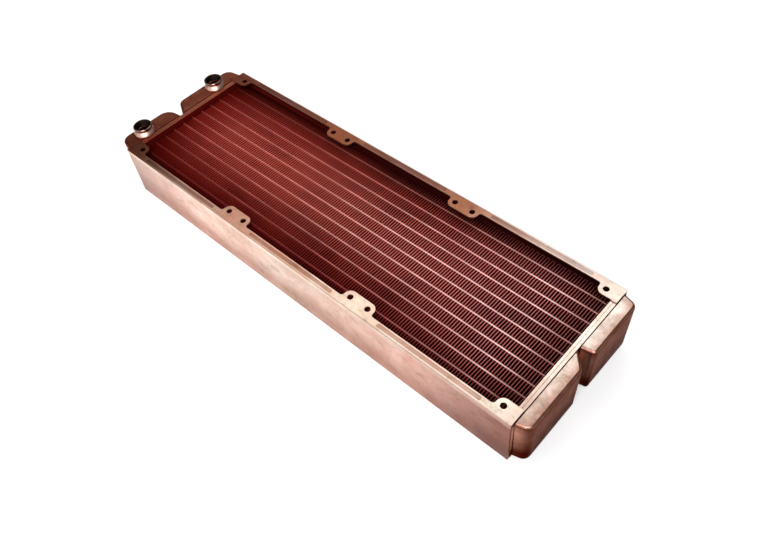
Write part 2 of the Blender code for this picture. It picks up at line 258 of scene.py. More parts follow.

# The core. Its shares go along X, and its rows go across it: BODY_ROWS over most of the length and
# RETURN_END_ROWS at the return end. Both are painted light and shade, darker towards the headers and in
# the rows under the frames' lips.
CORE_SPECULAR = 0.15
# A fin's painted highlight on its cut edges, then painted shade deeper down the leaf and in the gaps
# between leaves, darkest towards the return end.
CREST = (0.86, 0.26, 0.24)
LEAF_MIDDLE_SHADE = (0.26, 0.014, 0.014)
GAP_SHADE_PORT_END = (0.20, 0.014, 0.012)
GAP_SHADE_RETURN_END = (0.035, 0.003, 0.003)
FIN_TINTS = (
    (0.34, PLAIN), (0.46, (1.0, 0.88, 0.80)), (0.58, (0.86, 0.80, 0.80)), (0.68, (0.66, 0.58, 0.52)),
)
FIN_SHARES = (
    (0.0, (0.50, 0.11, 0.085)), (0.12, (0.95, 0.58, 0.50)), (0.30, (1.0, 0.68, 0.58)),
    (0.50, (0.92, 0.72, 0.64)), (0.75, (0.92, 0.90, 0.90)), (0.90, (0.78, 0.86, 0.94)),
    (0.97, (0.45, 0.43, 0.42)), (1.0, 0.3),
)
# A tube's painted shade on its sides and painted highlight along its crest, paler at each fin leaf.
TUBE_SIDE_SHADE = (0.12, 0.012, 0.010)
TUBE_CREST = (0.95, 0.52, 0.49)
TUBE_LEAF_SPOT = (1.0, 0.85, 0.82)
TUBE_SHARES = (
    (0.0, (0.30, 0.07, 0.06)), (0.12, (0.66, 0.23, 0.21)), (0.4, (0.76, 0.39, 0.35)),
    (0.65, (1.0, 0.80, 0.77)), (0.92, (1.0, 0.94, 0.92)), (0.97, (0.40, 0.30, 0.28)),
)
CORE_HALF_WIDTH = 0.054
BODY_ROWS = (
    (0.0, (0.12, 0.02, 0.02)), (0.04, (0.26, 0.08, 0.09)), (0.13, (0.46, 0.24, 0.22)),
    (0.24, (0.60, 0.45, 0.43)), (0.40, (0.98, 0.95, 0.95)), (0.62, 1.0), (0.76, (0.84, 0.74, 0.74)),
    (0.87, (0.58, 0.38, 0.36)), (0.96, (0.26, 0.17, 0.16)), (1.0, (0.10, 0.05, 0.05)),
)
RETURN_END_ROWS = (
    (0.0, (0.30, 0.18, 0.18)), (0.04, (0.42, 0.27, 0.26)), (0.15, (0.80, 0.72, 0.72)), (0.26, 1.0),
    (0.86, 1.0), (0.96, (0.58, 0.50, 0.48)), (1.0, (0.36, 0.30, 0.30)),
)


# Outlines: lists of (u, v) points, anticlockwise.


def rounded(corners, steps=ARC_STEPS):
    """The outline through (u, v, radius) corners, with an arc of that radius at each."""
    outline = []
    for index, (u, v, radius) in enumerate(corners):
        if radius <= 0:
            outline.append((u, v))
            continue
        before, after = corners[index - 1], corners[(index + 1) % len(corners)]
        back = math.atan2(before[1] - v, before[0] - u)
        ahead = math.atan2(after[1] - v, after[0] - u)
        opening = (ahead - back + math.pi) % math.tau - math.pi
        middle = back + opening / 2
        reach = radius / math.sin(abs(opening) / 2)
        centre_u, centre_v = u + reach * math.cos(middle), v + reach * math.sin(middle)
        sweep = math.copysign(math.pi - abs(opening), opening)
        for step in range(steps + 1):
            angle = middle + math.pi + sweep * (0.5 - step / steps)
            outline.append((centre_u + radius * math.cos(angle), centre_v + radius * math.sin(angle)))
    return outline


def rectangle(half_u, v_low, v_high, radius):
    return rounded([
        (-half_u, v_low, radius), (half_u, v_low, radius),
        (half_u, v_high, radius), (-half_u, v_high, radius),
    ])


def circle(centre_u, centre_v, radius, sides=ROUND_SIDES):
    angles = [math.tau * step / sides for step in range(sides)]
    return [(centre_u + radius * math.cos(a), centre_v + radius * math.sin(a)) for a in angles]


# Meshes.


def placed(axis, u, v, height):
    """A point of an outline that is drawn across the given axis, at this height along it."""
    return (u, v, height) if axis == "Z" else (height, u, v)


def joined(mesh, loops):
    """Faces between each loop of points and the next one."""
    for lower, upper in zip(loops, loops[1:]):
        for index in range(len(lower)):
            following = (index + 1) % len(lower)
            mesh.faces.new((lower[index], lower[following], upper[following], upper[index]))


def stacked(rings):
    """A closed solid through rings of points with equal counts, capped at both ends."""
    mesh = bmesh.new()
    loops = [[mesh.verts.new(point) for point in ring] for ring in rings]
    mesh.faces.new(reversed(loops[0]))
    mesh.faces.new(loops[-1])
    joined(mesh, loops)
    return mesh


def prism(outline, low, high, axis="Z"):
    """An outline that is drawn across the axis, from low to high along it."""
    return stacked([[placed(axis, u, v, height) for u, v in outline] for height in (low, high)])


def closed_tube(rings):
    """A ring-shaped solid: each ring of points joins the next one, and the last joins the first."""
    mesh = bmesh.new()
    loops = [[mesh.verts.new(point) for point in ring] for ring in rings]
    joined(mesh, loops + loops[:1])
    return mesh


def new_object(name, mesh):
    """An object in the scene from a bmesh, which is used up."""
    bmesh.ops.recalc_face_normals(mesh, faces=mesh.faces)
    data = bpy.data.meshes.new(name)
    mesh.to_mesh(data)
    mesh.free()
    made = bpy.data.objects.new(name, data)
    bpy.context.scene.collection.objects.link(made)
    return made


def apply_modifiers(piece):
    """Leaves the piece with the mesh that its modifiers make, and with no modifiers."""
    bpy.context.view_layer.update()
    evaluated = piece.evaluated_get(bpy.context.evaluated_depsgraph_get())
    data = bpy.data.meshes.new_from_object(evaluated)
    piece.modifiers.clear()
    piece.data = data


def combine(piece, operation, tools):
    """Joins bmesh tools to the piece with UNION, or cuts them out with DIFFERENCE."""
    made = []
    for number, mesh in enumerate(tools):
        tool = new_object(f"{piece.name}_tool_{number}", mesh)
        boolean = piece.modifiers.new("boolean", "BOOLEAN")
        boolean.operation = operation
        boolean.object = tool
        boolean.solver = "EXACT"
        made.append(tool)
    apply_modifiers(piece)
    for tool in made:
        bpy.data.objects.remove(tool)


def soften(piece, width):
    """Rounds the sharp edges a little, so that they catch the light."""
    bevel = piece.modifiers.new("edges", "BEVEL")
    bevel.width = width
    bevel.segments = 3
    bevel.limit_method = "ANGLE"
    bevel.angle_limit = math.radians(60)
    apply_modifiers(piece)


def finished(piece, material, slot, *nodes, sharp=35):
    """Shades the piece, gives it its material, and ties it to the frame."""
    piece.data.materials.clear()
    piece.data.materials.append(material)
    piece.data.shade_smooth()
    piece.data.set_sharp_from_angle(angle=math.radians(sharp))
    weighted = piece.modifiers.new("flats", "WEIGHTED_NORMAL")
    weighted.keep_sharp = True
    apply_modifiers(piece)
    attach(piece, "root")
    if nodes:
        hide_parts(*nodes)


def paint(piece, material, chosen):
    """Gives a second material to the faces whose middle is where chosen says."""
    piece.data.materials.append(material)
    for face in piece.data.polygons:
        if chosen(face.center):
            face.material_index = len(piece.data.materials) - 1


# Materials.


class Nodes:
    """A material's node tree, with short calls for the nodes that copper needs."""

    def __init__(self, name, metallic=1.0, specular=0.5, edge_tint=PLAIN):
        self.material = bpy.data.materials.new(name)
        self.material.use_nodes = True
        self.tree = self.material.node_tree
        self.shader = self.tree.nodes["Principled BSDF"]
        self.shader.inputs["Metallic"].default_value = metallic
        self.shader.inputs["Specular IOR Level"].default_value = specular
        self.shader.inputs["Specular Tint"].default_value = (*edge_tint, 1.0)
        self.place = self.tree.nodes.new("ShaderNodeTexCoord").outputs["Object"]

    def link(self, source, target):
        self.tree.links.new(source, target)

    def stretched(self, scale):
        """Object coordinates scaled by (x, y, z), for grain that runs one way."""
        mapping = self.tree.nodes.new("ShaderNodeMapping")
        mapping.inputs["Scale"].default_value = scale
        self.link(self.place, mapping.inputs["Vector"])
        return mapping.outputs["Vector"]

    def noise(self, scale, detail=3.0, roughness=0.5, vector=None, distortion=0.0):
        node = self.tree.nodes.new("ShaderNodeTexNoise")
        node.inputs["Scale"].default_value = scale
        node.inputs["Detail"].default_value = detail
        node.inputs["Roughness"].default_value = roughness
        node.inputs["Distortion"].default_value = distortion
        self.link(vector or self.place, node.inputs["Vector"])
        return node.outputs["Fac"]

    def steps(self, factor, *stops):
        """A ramp through (position, value) stops, where a value is a grey or a colour."""
        ramp = self.tree.nodes.new("ShaderNodeValToRGB")
        elements = ramp.color_ramp.elements
        while len(elements) < len(stops):
            elements.new(0.5)
        for element, (position, value) in zip(elements, stops):
            element.position = position
            colour = value if isinstance(value, tuple) else (value, value, value)
            element.color = (*colour, 1.0)
        self.link(factor, ramp.inputs["Fac"])
        return ramp.outputs["Color"]

    def mix(self, factor, first, second, blend="MIX"):
        """Mixes colours; each of the three values may be a constant or another node's output."""
        node = self.tree.nodes.new("ShaderNodeMix")
        node.data_type = "RGBA"
        node.blend_type = blend
        sockets = {socket.identifier: socket for socket in node.inputs}
        for name, value in (("Factor_Float", factor), ("A_Color", first), ("B_Color", second)):
            if isinstance(value, (tuple, float, int)):
                socket = sockets[name]
                socket.default_value = (*value, 1.0) if isinstance(value, tuple) else value
            else:
                self.link(value, sockets[name])
        return next(socket for socket in node.outputs if socket.identifier == "Result_Color")

    def multiplied(self, first, second):
        return self.mix(1.0, first, second, "MULTIPLY")

    def axis(self, name):
        """The object coordinate X, Y or Z."""
        split = self.tree.nodes.new("ShaderNodeSeparateXYZ")
        self.link(self.place, split.inputs["Vector"])
        return split.outputs[name]

    def remapped(self, value, low, high, to_low=0.0, to_high=1.0):
        """Turns low to high into to_low to to_high, and stays within them."""
        node = self.tree.nodes.new("ShaderNodeMapRange")
        node.inputs["From Min"].default_value = low
        node.inputs["From Max"].default_value = high
        node.inputs["To Min"].default_value = to_low
        node.inputs["To Max"].default_value = to_high
        self.link(value, node.inputs["Value"])
        return node.outputs["Result"]

    def maths(self, operation, first, second=0.0):
        node = self.tree.nodes.new("ShaderNodeMath")
        node.operation = operation
        for socket, value in zip(node.inputs, (first, second)):
            if isinstance(value, (float, int)):
                socket.default_value = value
            else:
                self.link(value, socket)
        return node.outputs["Value"]

    def finish(self, colour, roughness, height=None, distance=0.0001):
        """The material, with its colour, roughness and bump connected."""
        self.link(colour, self.shader.inputs["Base Color"])
        self.link(roughness, self.shader.inputs["Roughness"])
        if height is not None:
            bump = self.tree.nodes.new("ShaderNodeBump")
            bump.inputs["Distance"].default_value = distance
            self.link(height, bump.inputs["Height"])
            self.link(bump.outputs["Normal"], self.shader.inputs["Normal"])
        return self.material


def light_and_shade_by_place(nodes, tones, groove_shade):
    """A colour to multiply by: the painted light and shade of the tones, and painted shade down in a
    groove of the tops.
    """
    along = nodes.remapped(nodes.axis("X"), cad_box[0].x, cad_box[1].x)
    ragged = nodes.remapped(nodes.noise(420.0, 3.0, 0.6), 0.3, 0.7, -tones.ragged, tones.ragged)
    height = nodes.maths("ADD", nodes.axis("Z"), ragged)
    # Painted shade towards the lower edge of the walls.
    foot = nodes.steps(nodes.remapped(height, 0.0, FOOT_HEIGHT), (0.35, tones.foot), (1.0, 1.0))
    walls = nodes.multiplied(nodes.steps(along, *tones.walls), foot)
    in_band = nodes.remapped(height, tones.band_z - BAND_BLEND, tones.band_z + BAND_BLEND)
    sides = nodes.mix(in_band, walls, nodes.steps(along, *tones.band))
    in_rim = nodes.remapped(height, tones.rim_z - RIM_BLEND, tones.rim_z + RIM_BLEND)
    sides = nodes.mix(in_rim, sides, nodes.steps(along, *tones.rim))
    # Painted shade along the near side of the tops.
    across = nodes.remapped(nodes.axis("Y"), -HALF_WIDTH, 0.0)
    near_side = nodes.steps(across, (0.1, tones.near_side), (0.85, 1.0))
    tops = nodes.multiplied(nodes.steps(along, *tones.tops), near_side)
    # Painted shade down in the grooves.
    if groove_shade:
        floor_z, rim_z = THICKNESS - 0.75 * GROOVE_DEPTH, THICKNESS - 0.25 * GROOVE_DEPTH
        out_of_groove = nodes.remapped(nodes.axis("Z"), floor_z, rim_z)
        tops = nodes.mix(out_of_groove, nodes.multiplied(tops, groove_shade), tops)
    upper = nodes.remapped(height, tones.top_z - tones.blend, tones.top_z + tones.blend)
    return nodes.mix(upper, sides, tops)


def one_tone(stops, near_side=PLAIN):
    """Tones that don't change with height, but for the near side's painted shade in the upper part."""
    return Tones(
        walls=stops, band=stops, rim=stops, tops=stops,
        band_z=0.5 * THICKNESS, rim_z=0.6 * THICKNESS, top_z=0.7 * THICKNESS,
        blend=0.0002, foot=1.0, ragged=0.0, near_side=near_side,
    )


def sheet_copper(
    name, tones, rough, grain_scale, patch_scale=34.0, groove_shade=None, mottle=0.4, edge_tint=PLAIN,
    tarnish=TARNISH, relief=0.00012,
):
    """Mill copper sheet: cloudy tarnish, blotches, small stains, and drawing lines along its grain, all
    under the painted light and shade of its tones.
    """
    nodes = Nodes(name, edge_tint=edge_tint)
    patches = nodes.noise(patch_scale, 4.0, 0.62, distortion=0.5)
    clouds = nodes.steps(patches, (0.38, 0.0), (0.62, 1.0))
    specks = nodes.steps(nodes.noise(patch_scale * 9, 3.0, 0.6), (0.56, 0.0), (0.74, 1.0))
    grain = nodes.noise(1.0, 2.0, 0.6, vector=nodes.stretched(grain_scale))
    colour = nodes.mix(clouds, PLAIN, tarnish)
    blotches = nodes.noise(170.0, 6.0, 0.68, vector=nodes.stretched((0.45, 1.0, 0.8)))
    blotched = nodes.multiplied(colour, nodes.steps(blotches, *BLOTCHES))
    colour = nodes.mix(mottle, colour, blotched)
    colour = nodes.mix(nodes.maths("MULTIPLY", specks, 0.5), colour, STAIN)
    # The painted light and shade of the tones.
    colour = nodes.multiplied(colour, light_and_shade_by_place(nodes, tones, groove_shade))
    roughness = nodes.remapped(nodes.mix(0.5, patches, grain), 0.3, 0.7, *rough)
    height = nodes.mix(0.5, nodes.noise(patch_scale * 1.4, 2.0), grain)
    return nodes.finish(colour, roughness, height, relief)


def leaf_row(low, high):
    """How many leaves a fin strip with this box has, and the x of the first."""
    count = int((high.x - low.x) / FIN_PITCH) + 1
    return count, (low.x + high.x - (count - 1) * FIN_PITCH) / 2


def from_half_pitch(nodes, axis, first, pitch):
    """0.5 at each piece of a row that starts at first, falling to 0 half way to the next."""
    along = nodes.maths("DIVIDE", nodes.maths("SUBTRACT", nodes.axis(axis), first), pitch)
    return nodes.maths("ABSOLUTE", nodes.maths("SUBTRACT", nodes.maths("FRACT", along), 0.5))


def by_depth(nodes, low, high, start, end):
    """0 at depth start below either face of a core piece, and 1 at depth end."""
    middle = (low.z + high.z) / 2
    from_middle = nodes.maths("ABSOLUTE", nodes.maths("SUBTRACT", nodes.axis("Z"), middle))
    return nodes.remapped(from_middle, high.z - middle - start, high.z - middle - end)


def shade_by_place(nodes, low, high, shares):
    """How much of the colour is left along the core, and from row to row across it: painted light and
    shade, darker towards the headers and under the frames' lips.
    """
    along = nodes.remapped(nodes.axis("X"), low.x, high.x)
    across = nodes.remapped(nodes.axis("Y"), -CORE_HALF_WIDTH, CORE_HALF_WIDTH)
    body = nodes.steps(across, *BODY_ROWS)
    end = nodes.steps(across, *RETURN_END_ROWS)
    rows = nodes.mix(nodes.steps(along, (0.68, 0.0), (0.88, 1.0)), body, end)
    return nodes.multiplied(nodes.steps(along, *shares), rows)


def fin_copper():
    """Thin strip: a painted highlight on the cut edges and painted shade down between the leaves, on
    both faces.
    """
    nodes = Nodes("fin_copper", 0.45, CORE_SPECULAR, edge_tint=(0.4, 0.1, 0.1))
    low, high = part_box("fin_strip_01")
    # A painted highlight on the cut edges, then painted shade deeper down, darker towards the return
    # end.
    depth = by_depth(nodes, low, high, 0.0, FIN_SHADE_DEPTH)
    along = nodes.remapped(nodes.axis("X"), low.x, high.x)
    gap = nodes.mix(nodes.steps(along, (0.25, 0.0), (0.60, 1.0)), GAP_SHADE_PORT_END, GAP_SHADE_RETURN_END)
    leaf = nodes.steps(depth, (0.0, CREST), (0.05, CREST), (0.11, LEAF_MIDDLE_SHADE), (0.16, LEAF_MIDDLE_SHADE))
    shade = nodes.mix(nodes.steps(depth, (0.16, 0.0), (0.27, 1.0)), leaf, gap)
    first_tube, second_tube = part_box("flat_tube_01"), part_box("flat_tube_02")
    tube_y, pitch = (first_tube[0].y + first_tube[1].y) / 2, second_tube[0].y - first_tube[0].y
    # Painted shade between the leaves where they bend beside each tube.
    near_tube = nodes.remapped(from_half_pitch(nodes, "Y", tube_y, pitch), 0.355, 0.37)
    leaves = from_half_pitch(nodes, "X", leaf_row(low, high)[1], FIN_PITCH)
    bends = nodes.maths("MULTIPLY", near_tube, nodes.remapped(leaves, 0.38, 0.30))
    shade = nodes.mix(bends, shade, gap)
    patches = nodes.noise(45.0, 4.0, 0.6, vector=nodes.stretched((0.55, 1.0, 1.0)), distortion=0.4)
    tinted = nodes.multiplied(shade, nodes.steps(patches, *FIN_TINTS))
    colour = nodes.multiplied(tinted, shade_by_place(nodes, low, high, FIN_SHARES))
    roughness = nodes.remapped(nodes.noise(900.0, 2.0), 0.3, 0.7, 0.35, 0.5)
    return nodes.finish(colour, roughness)


def tube_copper():
    """Tube wall: painted shade on its sides and a painted highlight along its narrow crest, paler at
    each fin leaf.
    """
    nodes = Nodes("tube_copper", 0.3, CORE_SPECULAR, edge_tint=(0.5, 0.15, 0.15))
    low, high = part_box("flat_tube_01")
    leaves = from_half_pitch(nodes, "X", leaf_row(*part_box("fin_strip_01"))[1], FIN_PITCH)
    # The crest's painted highlight, paler at each fin leaf, then painted shade on the sides.
    colour = nodes.mix(nodes.steps(leaves, (0.22, 0.0), (0.40, 1.0)), TUBE_CREST, TUBE_LEAF_SPOT)
    crest = by_depth(nodes, low, high, TUBE_CREST_START, TUBE_CREST_END)
    colour = nodes.mix(crest, TUBE_SIDE_SHADE, colour)
    colour = nodes.multiplied(colour, shade_by_place(nodes, low, high, TUBE_SHARES))
    patches = nodes.steps(nodes.noise(60.0, 3.0), (0.4, 0.75), (0.65, 1.0))
    colour = nodes.multiplied(colour, patches)
    roughness = nodes.remapped(nodes.noise(500.0), 0.3, 0.7, 0.4, 0.5)
    return nodes.finish(colour, roughness)


def plated_metal(name, colour, rough, edge_tint=PLAIN):
    """Dull plating, worn brighter in patches."""
    nodes = Nodes(name, edge_tint=edge_tint)
    worn = tuple(min(1.0, 1.8 * channel) for channel in colour)
    wear = nodes.steps(nodes.noise(260.0, 3.0), (0.45, 0.0), (0.7, 1.0))
    tone = nodes.mix(nodes.maths("MULTIPLY", wear, 0.4), colour, worn)
    roughness = nodes.remapped(nodes.noise(700.0), 0.3, 0.7, *rough)
    return nodes.finish(tone, roughness, nodes.noise(420.0), 0.00003)


# The materials themselves, one function each.


def frame_copper(name, tones, groove_shade):
    """A side frame's sheet; the last argument is the painted shade that the colour is multiplied by down
    in its grooves.
    """
    return sheet_copper(name, tones, (0.30, 0.46), GRAIN_X, groove_shade=groove_shade, mottle=1.0)


def header_copper():
    return sheet_copper("header_copper", one_tone(HEADER_STOPS, ROSY_SHADE), (0.28, 0.42), GRAIN_Y)


def tank_copper():
    return sheet_copper(
        "tank_copper", TANK_TONES, (0.31, 0.46), GRAIN_Z, patch_scale=85.0, mottle=1.0,
        edge_tint=(0.60, 0.42, 0.38), tarnish=(0.72, 0.60, 0.55), relief=0.00022,
    )


def inside_shade_copper():
    """Painted shade: a dark sheet for the surfaces that face the core or are hidden, darker towards the
    return end.
    """
    tones = one_tone(INSIDE_SHADE_STOPS)
    return sheet_copper("inside_shade_copper", tones, (0.5, 0.7), GRAIN_X, edge_tint=(0.3, 0.1, 0.1))


def collar_copper():
    return sheet_copper("collar_copper", one_tone(COLLAR_STOPS), (0.32, 0.46), GRAIN_X, 120.0)


def port_plating():
    return plated_metal("port_plating", (0.26, 0.165, 0.135), (0.10, 0.20))


# Painted shade: a near-black sheet for the inside of the bore.
def port_bore_shade():
    return plated_metal("port_bore_shade", (0.016, 0.010, 0.008), (0.5, 0.6), (0.15, 0.10, 0.08))


# Side frames, made on the near side.


def fan_hole_positions():
    """The x of every screw hole in one row, from the first fan to the last."""
    return [fan * FAN_SIZE + side * FAN_HOLE_SPACING / 2 for fan in (-1, 0, 1) for side in (-1, 1)]


def flange_outline():
    """The near flange, flat: a narrow lip with an ear at each end and one between each two fans."""
    lip_y = -HALF_WIDTH + LIP_WIDTH
    ear_y = -FAN_HOLE_SPACING / 2 + EAR_RADIUS
    holes = fan_hole_positions()
    corners = [
        (-HALF_LENGTH, -HALF_WIDTH + SHEET, 0),
        (HALF_LENGTH, -HALF_WIDTH + SHEET, 0),
        (HALF_LENGTH, ear_y, 0),
    ]
    for last, first in zip(holes[::-2], holes[-2::-2]):
        corners += [
            (last - EAR_RADIUS, ear_y, EAR_RADIUS),
            (last - EAR_RADIUS, lip_y, EAR_ROOT_RADIUS),
            (first + EAR_RADIUS, lip_y, EAR_ROOT_RADIUS),
            (first + EAR_RADIUS, ear_y, EAR_RADIUS),
        ]
    return rounded(corners + [(-HALF_LENGTH, ear_y, 0)])


def channel_section():
    """The near channel's web and the start of its two flanges, as a (y, z) outline."""
    outside, inside = -HALF_WIDTH, -HALF_WIDTH + SHEET
    flange_end = outside + LIP_WIDTH / 2
    return rounded([
        (outside, 0, BEND_RADIUS),
        (flange_end, 0, 0),
        (flange_end, SHEET, 0),
        (inside, SHEET, 0),
        (inside, THICKNESS - SHEET, 0),
        (flange_end, THICKNESS - SHEET, 0),
        (flange_end, THICKNESS, 0),
        (outside, THICKNESS, BEND_RADIUS),
    ], steps=6)


def groove_cutter(start, end, face):
    """A long shallow trough in the lip, with sloped sides and ends."""
    y = -HALF_WIDTH + GROOVE_OFFSET
    outward = 1 if face > THICKNESS / 2 else -1
    rings = []
    for side in (-1, 1):
        half, stretch = GROOVE_HALF_WIDTH + side * GROOVE_FLARE, side * GROOVE_RUN_OUT
        outline = rounded([
            (start - stretch, y - half, half / 2), (end + stretch, y - half, half / 2),
            (end + stretch, y + half, half / 2), (start - stretch, y + half, half / 2),
        ], steps=4)
        rings.append([(u, v, face + outward * side * GROOVE_DEPTH) for u, v in outline])
    return stacked(rings)


def side_frame(name, node, turn, material, inside_material):
    """A channel with its lips, ears, screw holes and pressed grooves, turned to its own side."""
    piece = new_object(name, prism(channel_section(), -HALF_LENGTH, HALF_LENGTH, axis="X"))
    flanges = [prism(flange_outline(), low, low + SHEET) for low in (THICKNESS - SHEET, 0)]
    combine(piece, "UNION", flanges)
    cutters = [
        prism(circle(x, -FAN_HOLE_SPACING / 2, FAN_HOLE_RADIUS, 40), -SHEET, THICKNESS + SHEET)
        for x in fan_hole_positions()
    ]
    reach = FAN_HOLE_SPACING / 2 - GROOVE_END
    for fan in (-1, 0, 1):
        for face in (0, THICKNESS):
            cutters.append(groove_cutter(fan * FAN_SIZE - reach, fan * FAN_SIZE + reach, face))
    combine(piece, "DIFFERENCE", cutters)
    soften(piece, FRAME_EDGE_RADIUS)
    piece.data.transform(Matrix.Translation((CENTRE_X, 0, 0)) @ Matrix.Rotation(turn, 4, "Z"))
    finished(piece, material, "frame_copper", node, sharp=40)
    # The channel's inner walls take the painted shade of the inside sheet.
    inner = HALF_WIDTH - 0.9 * SHEET
    paint(piece, inside_material, lambda at: abs(at.y) < inner and SHEET < at.z < THICKNESS - SHEET)


# Core.


def eased(values, place):
    """The value at a place between two of the values, turning smoothly from one to the next."""
    start = int(place)
    share = place - start
    ease = share * share * (3 - 2 * share)
    return values[start] * (1 - ease) + values[start + 1] * ease


def leaf_places(strip, count, first_x):
    """Each leaf's x in its middle and its lean to one side, a little uneven along the strip."""
    chance = random.Random(LEAF_SEED + strip)
    turns = count // SWAY_LEAVES + 2
    lean = [chance.gauss(0, 1) for _ in range(turns)]
    wander = [chance.gauss(0, 1) for _ in range(turns)]
    places = []
    for leaf in range(count):
        place = leaf / SWAY_LEAVES
        nudge = LEAF_JITTER * chance.gauss(0, 1)
        tilt = LEAF_SWAY * eased(lean, place) + LEAF_JITTER * chance.gauss(0, 1)
        places.append((first_x + leaf * FIN_PITCH + LEAF_SWAY * eased(wander, place) + nudge, tilt))
    return places


def fin_path(places, low_y, high_y):
    """The middle line of a folded strip: leaf after leaf across the gap, joined by tight bends."""
    middle = []
    for leaf, (x, tilt) in enumerate(places):
        sign = 1 if leaf % 2 == 0 else -1
        start_y, end_y = (low_y, high_y) if sign == 1 else (high_y, low_y)
        start_x, end_x = x - sign * tilt, x + sign * tilt
        if leaf > 0:
            middle.append((start_x - FIN_BEND_SHOULDER, start_y + sign * FIN_BEND_SHOULDER))
            middle.append((start_x, start_y + sign * FIN_BEND))
        else:
            middle.append((start_x, start_y))
        middle.append(((start_x + end_x) / 2, (start_y + end_y) / 2))
        if leaf < len(places) - 1:
            middle.append((end_x, end_y - sign * FIN_BEND))
            middle.append((end_x + FIN_BEND_SHOULDER, end_y - sign * FIN_BEND_SHOULDER))
            middle.append((end_x + FIN_BEND, end_y))
            middle.append((places[leaf + 1][0] - FIN_BEND, end_y))
        else:
            middle.append((end_x, end_y))
    return middle


def ribbon_outline(middle, thickness):
    """Both sides of a ribbon along a path, as one closed outline."""
    left, right = [], []
    for index, (x, y) in enumerate(middle):
        before = middle[max(index - 1, 0)]
        after = middle[min(index + 1, len(middle) - 1)]
        along = Vector((after[0] - before[0], after[1] - before[1])).normalized()
        across = Vector((-along.y, along.x)) * thickness / 2
        left.append((x + across.x, y + across.y))
        right.append((x - across.x, y - across.y))
    return right + left[::-1]


def fin_strip(number, material):
    """A folded strip between two tubes, or between the outermost tube and the core's side."""
    node = f"fin_strip_{number:02}"
    low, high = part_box(node)
    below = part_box(f"flat_tube_{number - 1:02}")[1].y if number > 1 else low.y
    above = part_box(f"flat_tube_{number:02}")[0].y if number <= TUBES else high.y
    reach = FIN_THICKNESS / 2
    places = leaf_places(number, *leaf_row(low, high))
    outline = ribbon_outline(fin_path(places, below + reach, above - reach), FIN_THICKNESS)
    chance = random.Random(TWIST_SEED + number)
    rings = []
    for level in (0.0, 0.5, 1.0):
        shift = FIN_TWIST * chance.gauss(0, 1)
        z = low.z + level * (high.z - low.z)
        rings.append([(x + shift, y, z) for x, y in outline])
    piece = new_object(f"folded_fin_{number:02}", stacked(rings))
    finished(piece, material, "fin_copper", node, sharp=50)


def flat_tube(number, material):
    """A hollow tube with round edges, open at both ends."""
    node = f"flat_tube_{number:02}"
    low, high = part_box(node)
    centre_y, centre_z = (low.y + high.y) / 2, (low.z + high.z) / 2
    rings = []
    for inset in (0.0, TUBE_WALL):
        radius = (high.y - low.y) / 2 - inset
        reach = (high.z - low.z) / 2 - inset - radius
        outline = []
        for side, turn in ((1, 0.0), (-1, math.pi)):
            for step in range(ARC_STEPS + 1):
                angle = turn + math.pi * step / ARC_STEPS
                outline.append((
                    centre_y + radius * math.cos(angle),
                    centre_z + side * reach + radius * math.sin(angle),
                ))
        ends = (low.x, high.x) if inset == 0.0 else (high.x, low.x)
        rings += [[(x, y, z) for y, z in outline] for x in ends]
    piece = new_object(f"water_tube_{number:02}", closed_tube(rings))
    finished(piece, material, "tube_copper", node, sharp=50)


# Tank covers, made at the +X end.


def lobe_sides(tank, depth, high_side):
    """The two long sides of a lobe, low one first, each as its y at the joint and its slope."""
    outer_slope = (TANK_END_HALF_WIDTH - TANK_HALF_WIDTH) / depth
    low_slope, high_slope = tank.notch_slopes
    if high_side:
        return (NOTCH_HIGH_Y, high_slope), (TANK_HALF_WIDTH, outer_slope)
    return (-TANK_HALF_WIDTH, -outer_slope), (NOTCH_LOW_Y, low_slope)


def lobe_outline(tank, depth, high_side, start, inset=0.0):
    """A lobe seen from above, from x = start to its end wall, moved in by inset on those sides."""
    end = JOINT + depth - inset
    corners = []
    sides = zip(lobe_sides(tank, depth, high_side), (1, -1), tank.corner_radii[high_side])
    for (y, slope), inward, radius in sides:
        y += inward * inset * math.hypot(1, slope)
        corners.append([
            (start, y + slope * (start - JOINT), 0),
            (end, y + slope * (end - JOINT), max(radius - inset, TANK_CORNER_LEAST)),
        ])
    return rounded(corners[0] + corners[1][::-1])


def lobe_solid(tank, depth, high_side):
    """A pressed lobe: its walls draw in towards the lower face, and its edges are rolled over."""
    low, high = TANK_TOP_STEP, THICKNESS - TANK_TOP_STEP
    roll = []
    for step in range(TANK_EDGE_STEPS + 1):
        angle = math.pi / 2 * step / TANK_EDGE_STEPS
        rise, inset = TANK_EDGE_RADIUS * (1 - math.sin(angle)), TANK_EDGE_RADIUS * (1 - math.cos(angle))
        roll.append((rise, inset))
    levels = [(low + rise, inset) for rise, inset in roll[::-1]]
    levels += [(low + (high - low) * share, 0.0) for share in (0.25, 0.5, 0.75)]
    levels += [(high - rise, inset) for rise, inset in roll]
    rings = []
    for z, inset in levels:
        draft = TANK_DRAFT * (high - z) / (high - low)
        outline = lobe_outline(tank, depth, high_side, JOINT, inset + draft)
        rings.append([(x, y, z) for x, y in outline])
    return stacked(rings)


def neck_outline(inset):
    """The neck that goes into the header's tray, seen along the radiator."""
    low = NECK_LOW + inset
    return rectangle(HALF_WIDTH - low, low, THICKNESS - low, NECK_RADIUS - inset)


